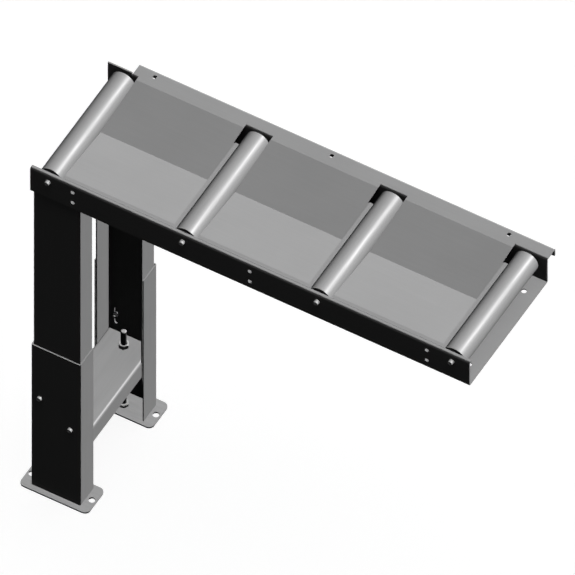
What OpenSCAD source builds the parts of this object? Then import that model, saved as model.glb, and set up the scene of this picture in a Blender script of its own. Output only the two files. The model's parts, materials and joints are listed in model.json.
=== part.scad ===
// Roller conveyor on a height-adjustable stand: a folded pan with free-running
// rollers and infill plates, carried by two telescoping channel legs.
// Origin: floor level, centre of the four anchor holes. +X along the conveyor,
// +Z up, and the front side faces -Y.

/* [Pan] */
// Height of the pan's top above the floor
pan_top_h = 965; // [900:5:1100]
// Width over the two walls
pan_w = 303; // [290:1:420]
// Height of the walls
pan_h = 70; // [62:1:110]
// Thickness of the pan sheet
pan_sheet = 3; // [2:0.5:4]
// Inside radius of the pan's bends
pan_bend = 1; // [1:0.5:3]
// Width of the front wall's inward lip
front_lip_w = 9; // [8:0.5:10]
// Reach of the back flange beyond the wall
back_flange_w = 29; // [22:1:45]
// Height of the lip under the back flange
flange_lip_h = 20; // [12:1:32]
// Length of the corner where the flange is cut away
corner_cut_l = 54; // [45:1:70]
// Rise of the back wall above the top at that corner
corner_rise = 6; // [2:0.5:10]

/* [Rollers] */
// Distance from one roller to the next
roller_pitch = 300; // [220:5:400]
// Distance from the pan's end to the first roller
end_margin = 40; // [38:1:60]
// Outside diameter of the roller tube
roller_d = 50; // [46:0.5:52]
// Wall of the roller tube
tube_wall = 1.5; // [1:0.25:2]
// Gap between a roller's end and the pan's wall
roller_side_gap = 8.5; // [7.5:0.5:12]
// Depth of the roller's axis below the pan's top
axis_drop = 18.5; // [17.5:0.5:21]
// Diameter of the axle
axle_d = 12; // [12:0.5:13]
// Depth of the threaded hole in each axle end
axle_bore_l = 25; // [20:1:35]

/* [Bearings] */
// Outside diameter of a bearing
bearing_d = 28; // [28:0.5:30]
// Width of a bearing
bearing_w = 8; // [7:0.5:9]
// Diameter of a bearing ball
ball_d = 4.8; // [4:0.1:5]
// Radial thickness of a bearing ring
ring_t = 2.2; // [2:0.1:2.4]
// Shoulder that stops the bearing in its housing
housing_shoulder = 3; // [2:0.5:5]

/* [Infill plates] */
// Thickness of an infill plate
plate_sheet = 2; // [1:0.5:3]
// Gap from a roller's surface to the plate beside it
plate_gap = 3; // [2:0.5:6]
// Drop of the shallow valley along a plate's middle
valley_drop = 13; // [6:1:20]
// Lap of a plate's back rim over the pan's flange
plate_lap = 3; // [1:0.5:5]
// Width of the level rim along each side of a plate
plate_rim_w = 8; // [4:0.5:12]
// Width of a cross angle's level strip
angle_top_w = 7.5; // [5:0.5:8]
// Width of the notch in a plate's back corner beside that roller
notch_w = 4.5; // [2:0.5:6]
// Distance from the notch and the cross angle's end to the back wall
angle_cut_l = 47; // [20:1:80]

/* [Stand] */
// Width of an inner leg channel
leg_w = 104; // [96:1:130]
// Depth of an inner leg channel
leg_d = 47.5; // [42:0.5:60]
// Thickness of the inner leg
leg_sheet = 3; // [2:0.5:4]
// Inside radius of the leg and sleeve bends
leg_bend = 0.5; // [0.3:0.1:3]
// Distance over the two inner legs
leg_span = 289.4; // [270:0.2:296]
// Height of the inner leg's lower end above the floor
leg_foot_h = 115; // [105:1:119]
// Thickness of the sleeve
sleeve_sheet = 2.5; // [2:0.5:4]
// Height of the sleeve's top above the floor
sleeve_top_h = 427.5; // [400:2.5:500]
// Sliding gap between an inner leg and its sleeve
sleeve_gap = 0.5; // [0.3:0.1:0.8]
// Thickness of the plate on top of the legs
head_plate_t = 5; // [4:0.5:8]
// Height of the crossbar's top above the floor
crossbar_top_h = 180; // [175:1:186]
// Width of the crossbar between the legs
crossbar_w = 101; // [97:1:104]
// Depth of the crossbar's flanges
crossbar_h = 45; // [36:1:58]
// Inside radius of the crossbar's bends
crossbar_bend = 3; // [1:0.5:4]

/* [Feet] */
// Length of a foot plate
foot_l = 154; // [148:1:180]
// Width of a foot plate
foot_w = 71; // [60:1:80]
// Thickness of a foot plate
foot_t = 4; // [3:0.5:8]
// Outward shift of a foot plate from its sleeve's middle
foot_shift = 1.25; // [0:0.25:6]
// Radius of a foot plate's corners
foot_corner_r = 12; // [8:1:14]
// Distance between a foot plate's two anchor holes
anchor_pitch = 134; // [133:1:136]
// Diameter of an anchor hole
anchor_d = 13.5; // [9:0.5:14]

/* [Height adjustment] */
// Diameter of the adjusting screw
screw_d = 12; // [10:0.5:12]
// Width across the flats of its head and nuts
screw_flats = 19; // [17:0.5:21]
// Distance from the centre line to an adjusting screw
screw_offset = 114.5; // [108:0.5:118]
// Length of screw above the crossbar
screw_above = 46; // [44:1:60]
// Height of a nut on the adjusting screw
screw_nut_h = 10; // [8:0.5:11]
// Travel up from the set height
lift_up = 25; // [15:1:30]
// Travel down from the set height
lift_down = 15; // [5:1:85]
// Height of each leg's upper clamp bolt above the floor
clamp_high_h = 276; // [268:1:300]
// Height of the front leg's lower clamp bolt above the floor
clamp_low_h = 221; // [218:1:245]
// Height of the back leg's lower clamp bolt above the floor
clamp_back_h = 230; // [218:1:245]
// Distance from the leg's middle to an upper clamp bolt
clamp_high_x = 35.5; // [30:0.5:38]
// Distance from the leg's middle to a lower clamp bolt
clamp_low_x = 32.5; // [30:0.5:38]

/* [Fasteners] */
// Diameter of the bolts
bolt_d = 6; // [5:0.5:8]
// Diameter of a bolt's cylindrical head
bolt_head_d = 10; // [9:0.5:13]
// Height of a bolt head
bolt_head_h = 6; // [5:0.5:8]
// Width across the flats of the hexagon socket in a bolt head
socket_flats = 5; // [4:0.5:6]
// Width across the flats of a nut
nut_flats = 10; // [10:0.5:13]
// Height of a nut
nut_h = 5; // [4:0.5:6.5]
// Diameter of a washer
washer_d = 12; // [11:0.5:16]
// Thickness of a washer
washer_t = 1.6; // [1:0.1:2]
// Radial play of a bolt in its hole
hole_play = 0.5; // [0.3:0.1:0.8]
// Diameter of the open holes in the walls and the flange
rail_hole_d = 9; // [6:0.5:10]
// Diameter of the holes for the machine end
machine_hole_d = 11; // [9:0.5:12]
// Distance between the two machine end holes
machine_pitch = 212; // [160:1:230]
// Distance from the pan's end to those holes
machine_margin = 27; // [20:1:27]
// Inset of the outer rail holes from the pan's end
rail_hole_inset = 95; // [85:1:110]
// Depth of the upper rail hole below the top
rail_hole_drop = 18.5; // [12:0.5:22]
// Distance between the upper and lower rail hole
rail_hole_pitch = 30; // [20:1:34]

/* [Hidden] */
roller_count = 4;
bay_count = roller_count - 1;
ball_count = 8;
cut_over = 1;
press_gap = 0.02;
thread_gap = 0.05;
ball_gap = 0.03;
slide_gap = 0.3;
seat_gap = 0.1;
round_fn = 64;
ball_fn = 24;

pan_l = 2 * end_margin + bay_count * roller_pitch;
sleeve_w = leg_w + 2 * (sleeve_gap + sleeve_sheet);
sleeve_d = leg_d + sleeve_gap + sleeve_sheet;
sleeve_face = leg_span / 2 + sleeve_gap + sleeve_sheet;
pan_x0 = -sleeve_w / 2;
pan_x1 = pan_x0 + pan_l;
pan_floor_h = pan_top_h - pan_h;
wall_face = pan_w / 2;
wall_inside = wall_face - pan_sheet;
axis_h = pan_top_h - axis_drop;
roller_l = 2 * (wall_inside - roller_side_gap);
roller_r = roller_d / 2;
housing_r = roller_r - tube_wall - press_gap;
housing_l = bearing_w + housing_shoulder;
ball_ring_r = (axle_d + bearing_d) / 4;
plate_offset = roller_r + plate_gap;
plate_front = -wall_face + front_lip_w + slide_gap;
pan_bend_outer = pan_bend + pan_sheet;
plate_back = wall_face + pan_bend + plate_lap;
plate_lap_h = pan_top_h + plate_sheet;
rim_front = plate_front + plate_rim_w;
rim_back = wall_inside - plate_rim_w;
angle_end = wall_inside - angle_cut_l;
pan_deck_h = pan_floor_h + pan_sheet;
head_plate_h = pan_floor_h - head_plate_t;
foot_y = sleeve_face - sleeve_d / 2 + foot_shift;
leg_web_inside = leg_span / 2 - leg_sheet;
crossbar_end_w = leg_w - 2 * (leg_sheet + leg_bend);
leg_mouth = leg_span / 2 - leg_d;
screw_base_h = foot_t + seat_gap;
screw_head_h = 0.625 * screw_d;
head_bolt_x = 0.3 * leg_w;
head_bolt_y = leg_span / 2 - leg_d / 2;
flange_hole_y = wall_face + back_flange_w / 2;
rail_hole_xs = [pan_x0 + rail_hole_inset, (pan_x0 + pan_x1) / 2, pan_x1 - rail_hole_inset];
clamp_spots = [
    [-clamp_high_x, clamp_high_h, -1],
    [clamp_low_x, clamp_low_h, -1],
    [clamp_high_x, clamp_high_h, 1],
    [-clamp_low_x, clamp_back_h, 1]
];

roller_names = ["roller_tube_", "end_housings_", "bearing_outer_rings_",
    "bearing_balls_", "bearing_inner_rings_", "axle_"];
bay_names = ["infill_plate_", "cross_angle_"];

function roller_x(i) = pan_x0 + end_margin + (i - 1) * roller_pitch;

// Rectangle with round corners, centred
module soft_rect(w, d, r) {
    square([w - 2 * r, d], center = true);
    square([w, d - 2 * r], center = true);
    for (sx = [-1, 1], sy = [-1, 1])
        translate([sx * (w / 2 - r), sy * (d / 2 - r)]) circle(r = r, $fn = round_fn);
}

// Channel section: web along X at the outer face, flanges towards +Y
module channel_section(w, d, t, bend) {
    difference() {
        translate([0, d]) soft_rect(w, 2 * d, bend + t);
        translate([0, d]) soft_rect(w - 2 * t, 2 * (d - t), bend);
        translate([-w, d]) square([2 * w, 2 * d]);
    }
}

// Quarter of a bent strip, inside radius r, between the +X and +Y directions
module bend_section(r, t) {
    intersection() {
        difference() {
            circle(r = r + t, $fn = round_fn);
            circle(r = r, $fn = round_fn);
        }
        square(r + t);
    }
}

// Stands a section drawn in (Y, Z) along X
module along_x(x0, x1) {
    translate([x0, 0, 0]) rotate([90, 0, 90]) linear_extrude(x1 - x0) children();
}

// Cylinder along +Y from y0 to y1
module rod_y(x, y0, y1, z, r) {
    translate([x, y0, z]) rotate([-90, 0, 0]) cylinder(r = r, h = y1 - y0, $fn = round_fn);
}

// Hexagonal prism along +Z
module hex(flats, h) {
    cylinder(d = flats / cos(30), h = h, $fn = 6);
}

module hex_nut(flats, h, bore_r) {
    difference() {
        hex(flats, h);
        translate([0, 0, -cut_over]) cylinder(r = bore_r, h = h + 2 * cut_over, $fn = round_fn);
    }
}

module ring(outer_r, inner_r, h) {
    difference() {
        cylinder(r = outer_r, h = h, $fn = round_fn);
        translate([0, 0, -cut_over]) cylinder(r = inner_r, h = h + 2 * cut_over, $fn = round_fn);
    }
}

// Bolt with a hexagon socket: its shank points along +Z and its head lies below 0
module socket_bolt(shank_l) {
    difference() {
        translate([0, 0, -bolt_head_h]) cylinder(d = bolt_head_d, h = bolt_head_h, $fn = round_fn);
        translate([0, 0, -bolt_head_h - cut_over]) hex(socket_flats, bolt_head_h / 2 + cut_over);
    }
    translate([0, 0, -bolt_head_h / 4]) cylinder(d = bolt_d, h = shank_l + bolt_head_h / 4, $fn = round_fn);
}

// Puts a part drawn along +Z on one side wall; side is -1 front, 1 back, +Z points inward
module on_side(x, y, z, side) {
    translate([x, side * y, z]) rotate([side * 90, 0, 0]) children();
}

// Floor and both walls up to the start of the top bends
module pan_trough_section() {
    translate([0, pan_floor_h]) difference() {
        channel_section(pan_w, pan_h, pan_sheet, pan_bend);
        translate([-pan_w, pan_h - pan_bend - pan_sheet]) square([2 * pan_w, pan_h]);
    }
}

module front_lip_section() {
    outer = pan_bend_outer;
    translate([-wall_face + outer, pan_top_h - outer]) mirror([1, 0]) bend_section(pan_bend, pan_sheet);
    translate([-wall_face + outer, pan_top_h - pan_sheet]) square([front_lip_w - outer, pan_sheet]);
}

module back_flange_section() {
    outer = pan_bend_outer;
    edge = wall_face + back_flange_w;
    translate([wall_face + pan_bend, pan_top_h - outer]) mirror([1, 0]) bend_section(pan_bend, pan_sheet);
    translate([wall_face + pan_bend, pan_top_h - pan_sheet])
        square([back_flange_w - pan_bend - outer, pan_sheet]);
    translate([edge - outer, pan_top_h - outer]) bend_section(pan_bend, pan_sheet);
    translate([edge - pan_sheet, pan_top_h - flange_lip_h]) square([pan_sheet, flange_lip_h - outer]);
}

module pan() {
    color([0.62, 0.63, 0.65]) difference() {
        union() {
            along_x(pan_x0, pan_x1) {
                pan_trough_section();
                front_lip_section();
            }
            along_x(pan_x0 + corner_cut_l, pan_x1) back_flange_section();
            translate([pan_x0, wall_inside, pan_top_h - pan_bend - pan_sheet])
                cube([corner_cut_l, pan_sheet, pan_bend + pan_sheet + corner_rise]);
        }
        for (i = [1:roller_count])
            rod_y(roller_x(i), -pan_w, pan_w, axis_h, bolt_d / 2 + hole_play);
        for (x = rail_hole_xs) {
            for (k = [0, 1])
                rod_y(x, -pan_w, pan_w, pan_top_h - rail_hole_drop - k * rail_hole_pitch, rail_hole_d / 2);
            translate([x, flange_hole_y, pan_top_h - pan_h / 2])
                cylinder(d = rail_hole_d, h = pan_h, $fn = round_fn);
        }
        for (side = [-1, 1])
            translate([pan_x1 - machine_margin, side * machine_pitch / 2, pan_floor_h - cut_over])
                cylinder(d = machine_hole_d, h = pan_sheet + 2 * cut_over, $fn = round_fn);
        head_bolt_holes(pan_floor_h, pan_sheet);
    }
}

module head_bolt_spots() {
    for (sx = [-1, 1], sy = [-1, 1])
        translate([sx * head_bolt_x, sy * head_bolt_y, 0]) children();
}

module head_bolt_holes(z, t) {
    head_bolt_spots() translate([0, 0, z - cut_over])
        cylinder(r = bolt_d / 2 + hole_play, h = t + 2 * cut_over, $fn = round_fn);
}

module head_plate() {
    color([0.25, 0.26, 0.28]) difference() {
        translate([-leg_w / 2, -leg_span / 2, head_plate_h]) cube([leg_w, leg_span, head_plate_t]);
        head_bolt_holes(head_plate_h, head_plate_t);
    }
}

module head_bolts() {
    grip = pan_sheet + head_plate_t + nut_h + bolt_d / 4;
    color([0.75, 0.76, 0.78]) head_bolt_spots()
        translate([0, 0, pan_deck_h]) mirror([0, 0, 1]) socket_bolt(grip);
}

module head_nuts() {
    color([0.75, 0.76, 0.78]) head_bolt_spots()
        translate([0, 0, head_plate_h - nut_h]) hex_nut(nut_flats, nut_h, bolt_d / 2 + thread_gap);
}

// Slot that lets an inner leg slide past a fixed clamp bolt
module clamp_slot(x, z) {
    r = bolt_d / 2 + hole_play;
    for (end = [z - lift_up, z + lift_down])
        rod_y(x, -cut_over, leg_sheet + cut_over, end, r);
    translate([x - r, -cut_over, z - lift_up]) cube([2 * r, leg_sheet + 2 * cut_over, lift_up + lift_down]);
}

// Inner leg; side is -1 at the front, 1 at the back
module inner_leg(side) {
    color([0.6, 0.61, 0.63]) translate([0, side * leg_span / 2, 0]) mirror([0, max(side, 0), 0])
        difference() {
            translate([0, 0, leg_foot_h]) linear_extrude(head_plate_h - leg_foot_h)
                channel_section(leg_w, leg_d, leg_sheet, leg_bend);
            for (spot = clamp_spots)
                if (spot[2] == side) clamp_slot(spot[0], spot[1]);
        }
}

// Outer sleeve; side is -1 at the front, 1 at the back
module sleeve(side) {
    color([0.6, 0.61, 0.63]) translate([0, side * sleeve_face, 0]) mirror([0, max(side, 0), 0])
        difference() {
            translate([0, 0, foot_t]) linear_extrude(sleeve_top_h - foot_t)
                channel_section(sleeve_w, sleeve_d, sleeve_sheet, leg_bend);
            for (spot = clamp_spots)
                if (spot[2] == side)
                    rod_y(spot[0], -cut_over, sleeve_sheet + cut_over, spot[1], bolt_d / 2 + hole_play);
        }
}

module foot_plate(side) {
    color([0.6, 0.61, 0.63]) translate([0, side * foot_y, 0]) difference() {
        linear_extrude(foot_t) soft_rect(foot_l, foot_w, foot_corner_r);
        for (sx = [-1, 1])
            translate([sx * anchor_pitch / 2, 0, -cut_over])
                cylinder(d = anchor_d, h = foot_t + 2 * cut_over, $fn = round_fn);
    }
}

// Inverted channel from one inner leg to the other, with its corners notched to enter the legs
module crossbar() {
    color([0.6, 0.61, 0.63]) difference() {
        translate([0, leg_web_inside, crossbar_top_h]) rotate([90, 0, 0])
            linear_extrude(2 * leg_web_inside) mirror([0, 1])
                channel_section(crossbar_w, crossbar_h, leg_sheet, crossbar_bend);
        for (mx = [0, 1], my = [0, 1]) mirror([mx, 0, 0]) mirror([0, my, 0])
            translate([crossbar_end_w / 2, leg_mouth - seat_gap, crossbar_top_h - crossbar_h - cut_over])
                cube([crossbar_w, leg_d, crossbar_h + 2 * cut_over]);
        for (side = [-1, 1])
            translate([0, side * screw_offset, crossbar_top_h - leg_sheet - cut_over])
                cylinder(r = screw_d / 2 + hole_play, h = leg_sheet + 2 * cut_over, $fn = round_fn);
    }
}

module adjuster_nuts() {
    color([0.75, 0.76, 0.78]) for (side = [-1, 1])
        translate([0, side * screw_offset, crossbar_top_h - leg_sheet - screw_nut_h])
            hex_nut(screw_flats, screw_nut_h, screw_d / 2 + thread_gap);
}

module lock_nuts() {
    color([0.75, 0.76, 0.78]) for (side = [-1, 1])
        translate([0, side * screw_offset, crossbar_top_h])
            hex_nut(screw_flats, screw_nut_h, screw_d / 2 + thread_gap);
}

module adjuster_screw(side) {
    top = crossbar_top_h + screw_above;
    color([0.7, 0.71, 0.73]) translate([0, side * screw_offset, screw_base_h]) {
        hex(screw_flats, screw_head_h);
        translate([0, 0, screw_head_h / 2])
            cylinder(d = screw_d, h = top - screw_base_h - screw_head_h / 2 - screw_d / 8, $fn = round_fn);
        translate([0, 0, top - screw_base_h - screw_d / 8])
            cylinder(d1 = screw_d, d2 = 0.8 * screw_d, h = screw_d / 8, $fn = round_fn);
    }
}

// Children are drawn along +Z with 0 at the sleeve's outer face
module at_clamps() {
    for (spot = clamp_spots)
        on_side(spot[0], sleeve_face, spot[1], spot[2]) children();
}
clamp_washer_at = sleeve_sheet + sleeve_gap + leg_sheet + slide_gap;

module clamp_bolts() {
    shank = clamp_washer_at + washer_t + nut_h + bolt_d / 2;
    color([0.75, 0.76, 0.78]) at_clamps() socket_bolt(shank);
}

module clamp_washers() {
    color([0.75, 0.76, 0.78]) at_clamps()
        translate([0, 0, clamp_washer_at]) ring(washer_d / 2, bolt_d / 2 + thread_gap, washer_t);
}

module clamp_nuts() {
    color([0.75, 0.76, 0.78]) at_clamps()
        translate([0, 0, clamp_washer_at + washer_t]) hex_nut(nut_flats, nut_h, bolt_d / 2 + thread_gap);
}

// Children are drawn along +Z with 0 at the wall's outer face
module at_axle_ends() {
    for (i = [1:roller_count], side = [-1, 1])
        on_side(roller_x(i), wall_face, axis_h, side) children();
}

module axle_bolts() {
    color([0.75, 0.76, 0.78]) at_axle_ends() translate([0, 0, -washer_t])
        socket_bolt(washer_t + pan_sheet + 2.5 * bolt_d);
}

module axle_washers() {
    color([0.75, 0.76, 0.78]) at_axle_ends()
        translate([0, 0, -washer_t]) ring(washer_d / 2, bolt_d / 2 + thread_gap, washer_t);
}

module axle(i) {
    color([0.7, 0.71, 0.73]) difference() {
        rod_y(roller_x(i), -wall_inside, wall_inside, axis_h, axle_d / 2);
        rod_y(roller_x(i), -wall_inside - cut_over, -wall_inside + axle_bore_l, axis_h,
            bolt_d / 2 + thread_gap);
        rod_y(roller_x(i), wall_inside - axle_bore_l, wall_inside + cut_over, axis_h,
            bolt_d / 2 + thread_gap);
    }
}

module roller_tube(i) {
    color([0.75, 0.76, 0.78]) difference() {
        rod_y(roller_x(i), -roller_l / 2, roller_l / 2, axis_h, roller_r);
        rod_y(roller_x(i), -roller_l / 2 - cut_over, roller_l / 2 + cut_over, axis_h,
            roller_r - tube_wall);
    }
}

// Children are drawn along +Z, inward from each end face of roller i
module at_roller_ends(i) {
    for (side = [-1, 1]) on_side(roller_x(i), roller_l / 2, axis_h, side) children();
}

// Pressed-in housing: an open seat for the bearing in front of a shoulder
module end_housings(i) {
    color([0.35, 0.36, 0.38]) at_roller_ends(i) difference() {
        cylinder(r = housing_r, h = housing_l, $fn = round_fn);
        translate([0, 0, -cut_over])
            cylinder(r = bearing_d / 2 + press_gap, h = bearing_w + cut_over, $fn = round_fn);
        cylinder(r = bearing_d / 2 - ring_t, h = housing_l + cut_over, $fn = round_fn);
    }
}

// Bearing ring with a groove for the balls, between two radii
module bearing_ring(r0, r1) {
    rotate_extrude($fn = round_fn) difference() {
        translate([r0, 0]) square([r1 - r0, bearing_w]);
        translate([ball_ring_r, bearing_w / 2]) circle(r = ball_d / 2 + ball_gap, $fn = round_fn);
    }
}

module bearing_outer_rings(i) {
    color([0.7, 0.71, 0.73]) at_roller_ends(i)
        bearing_ring(bearing_d / 2 - ring_t, bearing_d / 2);
}

module bearing_inner_rings(i) {
    color([0.7, 0.71, 0.73]) at_roller_ends(i)
        bearing_ring(axle_d / 2 + press_gap, axle_d / 2 + ring_t);
}

module bearing_balls(i) {
    color([0.8, 0.81, 0.83]) at_roller_ends(i)
        for (k = [0:ball_count - 1])
            rotate([0, 0, k * 360 / ball_count]) translate([ball_ring_r, 0, bearing_w / 2])
                sphere(d = ball_d, $fn = ball_fn);
}

// Infill plate section in (Y, Z): a shallow valley between level rims; the back rim lies on the flange
module plate_section() {
    top = [
        [plate_front, pan_top_h], [rim_front, pan_top_h],
        [(rim_front + rim_back) / 2, pan_top_h - valley_drop],
        [rim_back, plate_lap_h], [plate_back, plate_lap_h]
    ];
    bottom = [for (k = [len(top) - 1:-1:0]) top[k] - [0, plate_sheet]];
    polygon(concat(top, bottom));
}

// End flange section in (Y, Z): from the pan's deck up to the underside of the plate
module plate_flange_section() {
    polygon([
        [rim_front, pan_deck_h], [rim_front, pan_top_h - plate_sheet],
        [(rim_front + rim_back) / 2, pan_top_h - valley_drop - plate_sheet],
        [rim_back, pan_top_h], [rim_back, pan_deck_h]
    ]);
}

module infill_plate(i) {
    x0 = roller_x(i) + plate_offset;
    x1 = roller_x(i + 1) - plate_offset;
    color([0.62, 0.63, 0.65]) {
        difference() {
            along_x(x0, x1) plate_section();
            translate([x1 - notch_w, angle_end, pan_deck_h]) cube([plate_offset, pan_w, pan_h]);
        }
        along_x(x0, x0 + plate_sheet) plate_flange_section();
    }
}

// Angle across the pan beside a roller: it ends short of the back wall
module cross_angle(i) {
    x = roller_x(i + 1) - plate_offset;
    color([0.62, 0.63, 0.65]) {
        translate([x, rim_front, pan_deck_h])
            cube([plate_sheet, angle_end - rim_front, pan_h - pan_sheet - plate_sheet]);
        translate([x, plate_front, pan_top_h - plate_sheet])
            cube([angle_top_w, angle_end - plate_front, plate_sheet]);
    }
}

pan();
head_plate();
head_bolts();
head_nuts();
inner_leg(-1);  // inner_leg_front
inner_leg(1);  // inner_leg_back
crossbar();
adjuster_nuts();
lock_nuts();
sleeve(-1);  // sleeve_front
sleeve(1);  // sleeve_back
foot_plate(-1);  // foot_plate_front
foot_plate(1);  // foot_plate_back
clamp_bolts();
clamp_washers();
clamp_nuts();
adjuster_screw(-1);  // adjuster_screw_front
adjuster_screw(1);  // adjuster_screw_back
axle_bolts();
axle_washers();
for (i = [1:roller_count]) {
    roller_tube(i);
    end_housings(i);
    bearing_outer_rings(i);
    bearing_balls(i);
    bearing_inner_rings(i);
    axle(i);
}
for (i = [1:bay_count]) {
    infill_plate(i);
    cross_angle(i);
}
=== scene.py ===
# Looks for the roller conveyor: steel finishes, detailed fasteners, camera and light.
import json
import math

import bmesh
import bpy
from mathutils import Matrix, Vector


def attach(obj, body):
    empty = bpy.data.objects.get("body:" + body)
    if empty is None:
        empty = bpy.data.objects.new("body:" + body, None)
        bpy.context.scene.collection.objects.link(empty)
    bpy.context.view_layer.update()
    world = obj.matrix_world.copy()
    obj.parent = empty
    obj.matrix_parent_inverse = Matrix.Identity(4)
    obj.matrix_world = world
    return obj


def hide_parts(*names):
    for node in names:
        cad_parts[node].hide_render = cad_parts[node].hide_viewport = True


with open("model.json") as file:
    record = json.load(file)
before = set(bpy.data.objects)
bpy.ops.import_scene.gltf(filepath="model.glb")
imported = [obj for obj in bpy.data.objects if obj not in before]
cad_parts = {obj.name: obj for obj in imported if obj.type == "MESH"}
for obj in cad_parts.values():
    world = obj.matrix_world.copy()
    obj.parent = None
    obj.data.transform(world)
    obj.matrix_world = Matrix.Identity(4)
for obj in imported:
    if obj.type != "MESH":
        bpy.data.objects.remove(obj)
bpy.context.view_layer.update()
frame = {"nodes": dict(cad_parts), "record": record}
NODES = frame["nodes"]
scene = bpy.context.scene

# Sizes in metres, as in the CAD source
BOLT_R, BOLT_HEAD_D, BOLT_HEAD, SOCKET_FLATS, BOLT_PITCH = 0.003, 0.010, 0.006, 0.005, 0.001
NUT_FLATS, NUT_H, WASHER_R, WASHER_T = 0.010, 0.005, 0.006, 0.0016
SCREW_R, SCREW_FLATS, SCREW_NUT_H, SCREW_HEAD_H, SCREW_PITCH = 0.006, 0.019, 0.010, 0.0075, 0.00175
SCREW_Y, SCREW_BASE, SCREW_ABOVE = 0.1145, 0.0041, 0.046
FIRST_AXLE_X, ROLLER_PITCH, ROLLER_COUNT = -0.015, 0.3, 4
AXLE_X = [FIRST_AXLE_X + ROLLER_PITCH * i for i in range(ROLLER_COUNT)]
AXIS_Z, WALL_Y, PAN_SHEET = 0.9465, 0.1515, 0.003
SLEEVE_Y, CLAMP_WASHER_AT = 0.1477, 0.0063
# Clamp bolts: x, height, and side, which is -1 at the front
CLAMPS = [(-0.0355, 0.276, -1), (0.0325, 0.221, -1), (0.0355, 0.276, 1), (-0.0325, 0.230, 1)]
CROSSBAR_TOP, CROSSBAR_T = 0.180, 0.003
HEAD_BOLT_X, HEAD_BOLT_Y, DECK_Z, HEAD_PLATE_Z = 0.0312, 0.12095, 0.898, 0.890

# Play of a thread in its bore, and how far a shank starts inside its head
BORE_PLAY, SHANK_SINK = 0.0001, 0.0005
# How far the axle bolts reach behind the wall, and the other bolts out of their nuts
AXLE_BOLT_REACH, CLAMP_BOLT_END, HEAD_BOLT_END = 5 * BOLT_R, BOLT_R, 0.5 * BOLT_R
# Slope of the chamfers on hexagons
CHAMFER_SLOPE = math.tan(math.radians(30))
# Shares of the width across flats: the washer face's radius and the gap under the hexagon
FACE_SHARE, RIM_SHARE = 0.475, 0.03
# Slope of a head's lower edge as a share of the chamfer's
UNDERSIDE_SHARE = 0.4
# Share of a bore's radius that its countersink takes, and of a washer's thickness that its edge does
SINK_SHARE, WASHER_EDGE_SHARE = 0.16, 0.2
# Socket heads: chamfer as a share of the diameter, and the finer edges as a share of the chamfer
HEAD_CHAMFER_SHARE, FINE_EDGE_SHARE = 0.06, 0.3
# Radius of a socket's mouth as a share of its width across flats
SOCKET_MOUTH_SHARE = 0.6
# Threads: depth as a share of the pitch, and tip chamfer as a share of the radius
THREAD_DEPTH_SHARE, TIP_SHARE = 0.4, 0.15
# Points around heads and nuts, bolt threads, screw threads and washers; rings to a thread's turn
HEX_N, BOLT_N, SCREW_N, WASHER_N, TURN_RINGS = 48, 16, 24, 40, 4
# Points closer than this are merged; edges sharper than this many degrees stay sharp
MERGE_DISTANCE, SMOOTH_ANGLE = 1e-7, 25

# Camera fitted to the photograph: image directions, the middle of the picture and its width
VIEW_RIGHT = Vector((0.866, 0.5, 0.0)).normalized()
VIEW_UP = Vector((-0.385, 0.6668, 0.6381)).normalized()
VIEW_BACK = Vector((0.319, -0.5526, 0.770)).normalized()
VIEW_MIDDLE = Vector((0.4648, -0.0571, 0.8173))
VIEW_WIDTH, VIEW_DISTANCE, VIEW_END = 1.1107, 4.0, 50.0

# Noise of the steel finishes
STREAK_SCALE, STREAK_DETAIL, STREAK_ROUGHNESS = 6.0, 4.0, 0.6
MOTTLE_SCALE, MOTTLE_DETAIL = 9.0, 3.0
TOOTH_SCALE, TOOTH_DETAIL = 900.0, 2.0
NOISE_LOW, NOISE_HIGH = 0.3, 0.7
ROUGH_SPREAD, RELIEF_DEPTH = 0.06, 0.0005

# Stage: glow and colour of the floor as the camera sees it, its colour to bounced light, half its
# width, the world's fill light, and the share of the white surroundings that reflections see
FLOOR_GLOW, FLOOR_PALE, FLOOR_DIM, FLOOR_HALF = 0.40, 0.8, 0.03, 15.0
WORLD_FILL, REFLECTED_SHARE = 0.019, 0.2
WHITE = (1, 1, 1, 1)


def set_camera():
    """Parallel view in the photograph's three axis directions."""
    data = bpy.data.cameras.new("photo_camera")
    data.type = "ORTHO"
    data.ortho_scale = VIEW_WIDTH
    data.clip_end = VIEW_END
    cam = bpy.data.objects.new("photo_camera", data)
    m = Matrix((VIEW_RIGHT, VIEW_UP, VIEW_BACK)).transposed().to_4x4()
    m.translation = VIEW_MIDDLE + VIEW_DISTANCE * VIEW_BACK
    cam.matrix_world = m
    scene.collection.objects.link(cam)
    scene.camera = cam


# Materials
def node_links(mat):
    mat.use_nodes = True
    return mat.node_tree.nodes, mat.node_tree.links


def math_node(nodes, lk, operation, first, second):
    """Math node on two sockets, the second of which may be a number; returns its output."""
    node = nodes.new("ShaderNodeMath")
    node.operation = operation
    lk.new(first, node.inputs[0])
    if isinstance(second, float):
        node.inputs[1].default_value = second
    else:
        lk.new(second, node.inputs[1])
    return node.outputs["Value"]


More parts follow.
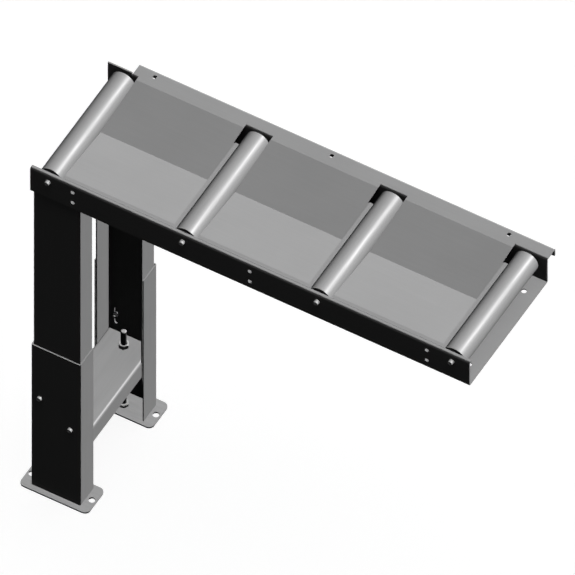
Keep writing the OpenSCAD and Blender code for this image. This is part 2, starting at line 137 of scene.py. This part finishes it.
def steel(name, base, grain, rough=0.5, metallic=0.0, specular=0.0, streak=0.05, speckle=0.04, bump=0.03):
    """Mill-finish steel: streaks along the axis where grain is lowest, faint mottling and a fine tooth."""
    mat = bpy.data.materials.new(name)
    nodes, lk = node_links(mat)
    bsdf = nodes["Principled BSDF"]
    bsdf.inputs["Metallic"].default_value = metallic
    bsdf.inputs["Specular IOR Level"].default_value = specular
    coord = nodes.new("ShaderNodeTexCoord")
    stretch = nodes.new("ShaderNodeMapping")
    stretch.inputs["Scale"].default_value = grain
    lk.new(coord.outputs["Object"], stretch.inputs["Vector"])

    def noise(vector, scale, detail):
        node = nodes.new("ShaderNodeTexNoise")
        node.inputs["Scale"].default_value = scale
        node.inputs["Detail"].default_value = detail
        lk.new(vector, node.inputs["Vector"])
        return node

    def spread(source, low, high):
        node = nodes.new("ShaderNodeMapRange")
        node.inputs["From Min"].default_value = NOISE_LOW
        node.inputs["From Max"].default_value = NOISE_HIGH
        node.inputs["To Min"].default_value = low
        node.inputs["To Max"].default_value = high
        lk.new(source.outputs["Fac"], node.inputs["Value"])
        return node.outputs["Result"]

    streaks = noise(stretch.outputs["Vector"], STREAK_SCALE, STREAK_DETAIL)
    streaks.inputs["Roughness"].default_value = STREAK_ROUGHNESS
    mottle = noise(coord.outputs["Object"], MOTTLE_SCALE, MOTTLE_DETAIL)
    tooth = noise(coord.outputs["Object"], TOOTH_SCALE, TOOTH_DETAIL)

    tone = math_node(nodes, lk, "MULTIPLY", spread(streaks, 1 - streak, 1 + streak),
                     spread(mottle, 1 - speckle, 1 + speckle))
    colour = nodes.new("ShaderNodeVectorMath")
    colour.operation = "SCALE"
    colour.inputs[0].default_value = base
    lk.new(tone, colour.inputs["Scale"])
    lk.new(colour.outputs["Vector"], bsdf.inputs["Base Color"])
    lk.new(spread(streaks, rough - ROUGH_SPREAD, rough + ROUGH_SPREAD), bsdf.inputs["Roughness"])
    bumps = nodes.new("ShaderNodeBump")
    bumps.inputs["Strength"].default_value = bump
    bumps.inputs["Distance"].default_value = RELIEF_DEPTH
    lk.new(math_node(nodes, lk, "ADD", streaks.outputs["Fac"], tooth.outputs["Fac"]), bumps.inputs["Height"])
    lk.new(bumps.outputs["Normal"], bsdf.inputs["Normal"])
    return mat


GREY = (0.40, 0.40, 0.402)
SHEET = steel("sheet_steel", GREY, grain=(1.0, 30.0, 30.0), streak=0.015, speckle=0.02, bump=0.015)
STAND = steel("stand_steel", GREY, grain=(30.0, 30.0, 1.0), streak=0.02, speckle=0.02, bump=0.015)
# Crossbar steel: its own grain along Y and a glossier finish, and a base a little lighter than the sheet
# grey, painted light that stands in for the overhead light the pan shades off it
BAR_PAINTED_LIGHT = steel("crossbar_steel_painted_light", (0.415, 0.415, 0.417), grain=(30.0, 1.0, 30.0), rough=0.46, specular=0.29,
            streak=0.03, speckle=0.025, bump=0.01)
# Foot plates: a base lighter than the sheet grey, painted light that stands in for the overhead light the pan
# shades off them
FOOT_PAINTED_LIGHT = steel("foot_steel_painted_light", (0.45, 0.45, 0.452), grain=(3.0, 30.0, 30.0), speckle=0.05, bump=0.02)
ROLLER = steel("roller_steel", (0.42, 0.42, 0.422), grain=(60.0, 2.0, 60.0), rough=0.46, specular=0.31,
               streak=0.02, speckle=0.02, bump=0.01)
HOUSING = steel("housing_steel", (0.2, 0.2, 0.202), grain=(8.0, 8.0, 8.0), metallic=0.1, specular=0.2)
BEARING = steel("bearing_steel", (0.42, 0.42, 0.425), grain=(20.0, 20.0, 20.0), rough=0.3, metallic=0.3,
                specular=0.4, streak=0.02)
ZINC = steel("zinc_fasteners", (0.58, 0.58, 0.575), grain=(14.0, 14.0, 14.0), rough=0.42, specular=0.17,
             speckle=0.06)
# Near-black steel, painted shade: on the walls and bottoms of the bolt sockets, on the adjuster screws'
# thread flanks, and on the clamp washers and nuts
PAINTED_SHADE = steel("painted_shade_steel", (0.035, 0.035, 0.036), grain=(14.0, 14.0, 14.0), rough=0.4, specular=0.1,
              speckle=0.1)

SLOT_LOOK = {
    "sheet_steel": SHEET, "stand_steel": STAND, "roller_steel": ROLLER, "housing_steel": HOUSING,
    "bearing_steel": BEARING, "zinc_fasteners": ZINC,
}
NODE_LOOK = {"crossbar": BAR_PAINTED_LIGHT, "foot_plate_front": FOOT_PAINTED_LIGHT, "foot_plate_back": FOOT_PAINTED_LIGHT}


def dress(obj, mat):
    """Gives every slot of a CAD node the material mat."""
    if not obj.material_slots:
        obj.data.materials.append(mat)
    for slot in obj.material_slots:
        slot.material = mat


def dress_frame():
    """Dresses each CAD node by its own look, or else by its record's slot."""
    for part in frame["record"]["subparts"]:
        name = part["node"]
        dress(NODES[name], NODE_LOOK.get(name, SLOT_LOOK[part["material_slot"]]))


# Mesh pieces
def add_rings(bm, rings, closed_ends=True):
    """Skins a stack of equal rings of points, with end faces or closed on itself; returns the side faces."""
    loops = [[bm.verts.new(p) for p in ring] for ring in rings]
    n = len(loops[0])
    pairs = list(zip(loops, loops[1:]))
    if closed_ends:
        bm.faces.new(list(reversed(loops[0])))
        bm.faces.new(loops[-1])
    else:
        pairs.append((loops[-1], loops[0]))
    return [bm.faces.new((low[k], low[(k + 1) % n], high[(k + 1) % n], high[k]))
            for low, high in pairs for k in range(n)]


def turn(k, n):
    """Angle of the k-th of n points around."""
    return 2 * math.pi * k / n


def circle(r, z, n, m):
    """Ring of n points at radius r and height z, placed by the matrix m."""
    return [m @ Vector((r * math.cos(turn(k, n)), r * math.sin(turn(k, n)), z)) for k in range(n)]


def hex_ring(flats, z_of, m):
    """Ring on a hexagon's outline; z_of gives its height from the corner's overhang."""
    ring = []
    for k in range(HEX_N):
        a = turn(k, HEX_N)
        from_flat = a % (math.pi / 3) - math.pi / 6
        r = flats / 2 / math.cos(from_flat)
        ring.append(m @ Vector((r * math.cos(a), r * math.sin(a), z_of(r - flats / 2))))
    return ring


def add_head(bm, flats, h, m):
    """Hexagon head from z=-h to z=0, chamfered on its outer side, with a washer face."""
    face_r, rim = FACE_SHARE * flats, RIM_SHARE * flats
    add_rings(bm, [
        circle(face_r, -h, HEX_N, m),
        hex_ring(flats, lambda over: -h + (over + flats / 2 - face_r) * CHAMFER_SLOPE, m),
        hex_ring(flats, lambda over: -rim - UNDERSIDE_SHARE * over * CHAMFER_SLOPE, m),
        circle(face_r, -rim, HEX_N, m),
        circle(face_r, 0, HEX_N, m),
    ])


def add_socket_head(bm, m):
    """Cylindrical bolt head from z=-BOLT_HEAD to z=0 with broken edges and a hexagon socket whose walls and
    bottom are painted near-black as shade.
    """
    r, h, c = BOLT_HEAD_D / 2, BOLT_HEAD, HEAD_CHAMFER_SHARE * BOLT_HEAD_D
    fine = FINE_EDGE_SHARE * c
    sides = add_rings(bm, [
        hex_ring(SOCKET_FLATS, lambda over: -h / 2, m),
        hex_ring(SOCKET_FLATS, lambda over: -h + fine, m),
        circle(SOCKET_MOUTH_SHARE * SOCKET_FLATS, -h, HEX_N, m),
        circle(r - c, -h, HEX_N, m),
        circle(r, -h + c, HEX_N, m),
        circle(r, -fine, HEX_N, m),
        circle(r - fine, 0, HEX_N, m),
    ])
    # Socket walls and bottom take the second finish: near-black painted shade in the recess
    for face in sides[:HEX_N] + list(sides[0].verts[0].link_faces):
        face.material_index = 1


def add_nut(bm, flats, h, bore_r, m):
    """Hexagon nut from z=0 to z=h, chamfered on both sides, with a countersunk bore."""
    face_r, sink = FACE_SHARE * flats, SINK_SHARE * bore_r
    add_rings(bm, [
        circle(bore_r + sink, 0, HEX_N, m),
        circle(face_r, 0, HEX_N, m),
        hex_ring(flats, lambda over: (over + flats / 2 - face_r) * CHAMFER_SLOPE, m),
        hex_ring(flats, lambda over: h - (over + flats / 2 - face_r) * CHAMFER_SLOPE, m),
        circle(face_r, h, HEX_N, m),
        circle(bore_r + sink, h, HEX_N, m),
        circle(bore_r, h - sink, HEX_N, m),
        circle(bore_r, sink, HEX_N, m),
    ], closed_ends=False)


def add_thread(bm, r, z0, z1, pitch, m, n, flank_slot=0):
    """Threaded rod whose crests reach r, with a chamfered tip at z1; flank_slot is the thread's material."""
    depth, tip = THREAD_DEPTH_SHARE * pitch, TIP_SHARE * r
    count = max(2, int(round((z1 - tip - z0) / pitch * TURN_RINGS)))
    rings = [circle(r - depth, z0, n, m)]
    for j in range(count + 1):
        z = z0 + (z1 - tip - z0) * j / count
        ring = []
        for k in range(n):
            a = turn(k, n)
            phase = ((z - z0) / pitch - k / n) % 1.0
            rr = r - depth * abs(2 * phase - 1)
            ring.append(m @ Vector((rr * math.cos(a), rr * math.sin(a), z)))
        rings.append(ring)
    rings.append(circle(r - depth - tip, z1, n, m))
    for face in add_rings(bm, rings)[:-n]:
        face.material_index = flank_slot


def add_washer(bm, r1, r0, t, m):
    """Flat washer from z=0 to z=t with a broken edge."""
    c, n = WASHER_EDGE_SHARE * t, WASHER_N
    add_rings(bm, [
        circle(r0, 0, n, m), circle(r1 - c, 0, n, m), circle(r1, c, n, m), circle(r1, t - c, n, m),
        circle(r1 - c, t, n, m), circle(r0, t, n, m),
    ], closed_ends=False)


def finish_piece(bm, name, body, nodes, finishes):
    """Turns bm into a fastener piece that rides on a body and replaces some CAD nodes."""
    bmesh.ops.remove_doubles(bm, verts=bm.verts, dist=MERGE_DISTANCE)
    bmesh.ops.recalc_face_normals(bm, faces=bm.faces)
    mesh = bpy.data.meshes.new(name)
    bm.to_mesh(mesh)
    bm.free()
    obj = bpy.data.objects.new(name, mesh)
    scene.collection.objects.link(obj)
    for finish in finishes:
        mesh.materials.append(finish)
    mesh.shade_smooth()
    mesh.set_sharp_from_angle(angle=math.radians(SMOOTH_ANGLE))
    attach(obj, body)
    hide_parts(*nodes)


def on_side(x, y, z, side):
    """Matrix for a part drawn along +Z that points inward through a side wall."""
    return Matrix.Translation((x, side * y, z)) @ Matrix.Rotation(side * math.pi / 2, 4, "X")


def make_axle_fasteners():
    bolts, washers = bmesh.new(), bmesh.new()
    for x in AXLE_X:
        for side in (-1, 1):
            m = on_side(x, WALL_Y, AXIS_Z, side)
            lift = m @ Matrix.Translation((0, 0, -WASHER_T))
            add_socket_head(bolts, lift)
            end = WASHER_T + PAN_SHEET + AXLE_BOLT_REACH
            add_thread(bolts, BOLT_R, -SHANK_SINK, end, BOLT_PITCH, lift, BOLT_N)
            add_washer(washers, WASHER_R, BOLT_R + BORE_PLAY, WASHER_T, lift)
    finish_piece(bolts, "axle_bolts_threaded", "lift_frame", ["axle_bolts"], [ZINC, PAINTED_SHADE])
    finish_piece(washers, "axle_washers_edged", "lift_frame", ["axle_washers"], [ZINC])


def make_clamp_fasteners():
    bolts, washers, nuts = bmesh.new(), bmesh.new(), bmesh.new()
    for x, z, side in CLAMPS:
        m = on_side(x, SLEEVE_Y, z, side)
        add_socket_head(bolts, m)
        end = CLAMP_WASHER_AT + WASHER_T + NUT_H + CLAMP_BOLT_END
        add_thread(bolts, BOLT_R, -SHANK_SINK, end, BOLT_PITCH, m, BOLT_N)
        at = m @ Matrix.Translation((0, 0, CLAMP_WASHER_AT))
        add_washer(washers, WASHER_R, BOLT_R + BORE_PLAY, WASHER_T, at)
        add_nut(nuts, NUT_FLATS, NUT_H, BOLT_R + BORE_PLAY, at @ Matrix.Translation((0, 0, WASHER_T)))
    finish_piece(bolts, "clamp_bolts_threaded", "stand_base", ["clamp_bolts"], [ZINC, PAINTED_SHADE])
    # The clamp washers and nuts take the near-black painted shade
    finish_piece(washers, "clamp_washers_edged", "stand_base", ["clamp_washers"], [PAINTED_SHADE])
    finish_piece(nuts, "clamp_nuts_chamfered", "stand_base", ["clamp_nuts"], [PAINTED_SHADE])


def make_head_fasteners():
    bolts, nuts = bmesh.new(), bmesh.new()
    end = DECK_Z - HEAD_PLATE_Z + NUT_H + HEAD_BOLT_END
    for x in (-HEAD_BOLT_X, HEAD_BOLT_X):
        for y in (-HEAD_BOLT_Y, HEAD_BOLT_Y):
            down = Matrix.Translation((x, y, DECK_Z)) @ Matrix.Rotation(math.pi, 4, "X")
            add_socket_head(bolts, down)
            add_thread(bolts, BOLT_R, -SHANK_SINK, end, BOLT_PITCH, down, BOLT_N)
            below = Matrix.Translation((x, y, HEAD_PLATE_Z - NUT_H))
            add_nut(nuts, NUT_FLATS, NUT_H, BOLT_R + BORE_PLAY, below)
    finish_piece(bolts, "head_bolts_threaded", "lift_frame", ["head_bolts"], [ZINC, PAINTED_SHADE])
    finish_piece(nuts, "head_nuts_chamfered", "lift_frame", ["head_nuts"], [ZINC])


def make_adjusters():
    lock, weld = bmesh.new(), bmesh.new()
    top = CROSSBAR_TOP + SCREW_ABOVE
    for side, word in ((-1, "front"), (1, "back")):
        y = side * SCREW_Y
        screw = bmesh.new()
        seat = Matrix.Translation((0, y, SCREW_BASE + SCREW_HEAD_H))
        add_head(screw, SCREW_FLATS, SCREW_HEAD_H, seat)
        length = top - SCREW_BASE - SCREW_HEAD_H
        # The screw's thread flanks take the second finish, near-black painted shade
        add_thread(screw, SCREW_R, -SHANK_SINK, length, SCREW_PITCH, seat, SCREW_N, flank_slot=1)
        finish_piece(screw, "adjuster_screw_threaded_" + word, "screw_" + word, ["adjuster_screw_" + word],
                     [ZINC, PAINTED_SHADE])
        add_nut(lock, SCREW_FLATS, SCREW_NUT_H, SCREW_R + BORE_PLAY, Matrix.Translation((0, y, CROSSBAR_TOP)))
        add_nut(weld, SCREW_FLATS, SCREW_NUT_H, SCREW_R + BORE_PLAY,
                Matrix.Translation((0, y, CROSSBAR_TOP - CROSSBAR_T - SCREW_NUT_H)))
    finish_piece(lock, "lock_nuts_chamfered", "lift_frame", ["lock_nuts"], [ZINC])
    finish_piece(weld, "adjuster_nuts_chamfered", "lift_frame", ["adjuster_nuts"], [ZINC])


# Stage and light
def stage_material():
    """White to the camera, dimmer in reflections; a dim plain floor for the light that bounces."""
    mat = bpy.data.materials.new("floor_plain")
    nodes, lk = node_links(mat)
    nodes.remove(nodes["Principled BSDF"])
    out = nodes["Material Output"]
    seen = nodes.new("ShaderNodeAddShader")
    glow = nodes.new("ShaderNodeEmission")
    glow.inputs["Color"].default_value = WHITE
    glow.inputs["Strength"].default_value = FLOOR_GLOW
    pale = nodes.new("ShaderNodeBsdfDiffuse")
    pale.inputs["Color"].default_value = (FLOOR_PALE, FLOOR_PALE, FLOOR_PALE, 1)
    lk.new(glow.outputs[0], seen.inputs[0])
    lk.new(pale.outputs[0], seen.inputs[1])
    dim = nodes.new("ShaderNodeBsdfDiffuse")
    dim.inputs["Color"].default_value = (FLOOR_DIM, FLOOR_DIM, FLOOR_DIM, 1)
    mix = nodes.new("ShaderNodeMixShader")
    lk.new(seen_by_eye(nodes, lk), mix.inputs[0])
    lk.new(dim.outputs[0], mix.inputs[1])
    lk.new(seen.outputs[0], mix.inputs[2])
    lk.new(mix.outputs[0], out.inputs["Surface"])
    return mat


def seen_by_eye(nodes, lk):
    """Full to the camera, a share of it to reflections, none to bounced light."""
    path = nodes.new("ShaderNodeLightPath")
    share = math_node(nodes, lk, "MULTIPLY", path.outputs["Is Glossy Ray"], REFLECTED_SHARE)
    both = math_node(nodes, lk, "MAXIMUM", path.outputs["Is Camera Ray"], share)
    return math_node(nodes, lk, "MAXIMUM", both, path.outputs["Is Transmission Ray"])


def set_stage():
    """Plain floor, and a world that is white to the camera and nearly dark as a light."""
    mesh = bpy.data.meshes.new("floor")
    half = FLOOR_HALF
    corners = [(-half, -half, 0), (half, -half, 0), (half, half, 0), (-half, half, 0)]
    mesh.from_pydata(corners, [], [(0, 1, 2, 3)])
    floor = bpy.data.objects.new("floor", mesh)
    mesh.materials.append(stage_material())
    scene.collection.objects.link(floor)

    world = scene.world or bpy.data.worlds.new("world")
    scene.world = world
    world.use_nodes = True
    nodes, lk = world.node_tree.nodes, world.node_tree.links
    nodes.clear()
    out = nodes.new("ShaderNodeOutputWorld")
    white = nodes.new("ShaderNodeBackground")
    white.inputs["Color"].default_value = WHITE
    fill = nodes.new("ShaderNodeBackground")
    fill.inputs["Color"].default_value = WHITE
    fill.inputs["Strength"].default_value = WORLD_FILL
    mix = nodes.new("ShaderNodeMixShader")
    lk.new(seen_by_eye(nodes, lk), mix.inputs[0])
    lk.new(fill.outputs[0], mix.inputs[1])
    lk.new(white.outputs[0], mix.inputs[2])
    lk.new(mix.outputs[0], out.inputs["Surface"])


def add_sun(name, towards, strength, angle, shadow, bounces=12, sheen_only=False):
    """Sun that stands in the direction towards and is angle degrees wide."""
    data = bpy.data.lights.new(name, "SUN")
    data.energy = strength
    data.angle = math.radians(angle)
    data.use_shadow = shadow
    data.cycles.max_bounces = bounces
    sun = bpy.data.objects.new(name, data)
    sun.visible_diffuse = not sheen_only
    sun.rotation_mode = "QUATERNION"
    sun.rotation_quaternion = Vector(towards).to_track_quat("Z", "Y")
    scene.collection.objects.link(sun)


def set_light():
    add_sun("key", towards=(0.256, 0.905, 0.338), strength=6.1, angle=10, shadow=False, bounces=0)
    add_sun("top_soft", towards=(0.15, 0.2, 1.0), strength=0.32, angle=60, shadow=True)
    add_sun("sheen", towards=(0.533, 0.553, 0.641), strength=7.5, angle=8, shadow=False, bounces=0,
            sheen_only=True)
    scene.view_settings.view_transform = "Standard"


set_camera()
dress_frame()
make_axle_fasteners()
make_clamp_fasteners()
make_head_fasteners()
make_adjusters()
set_stage()
set_light()
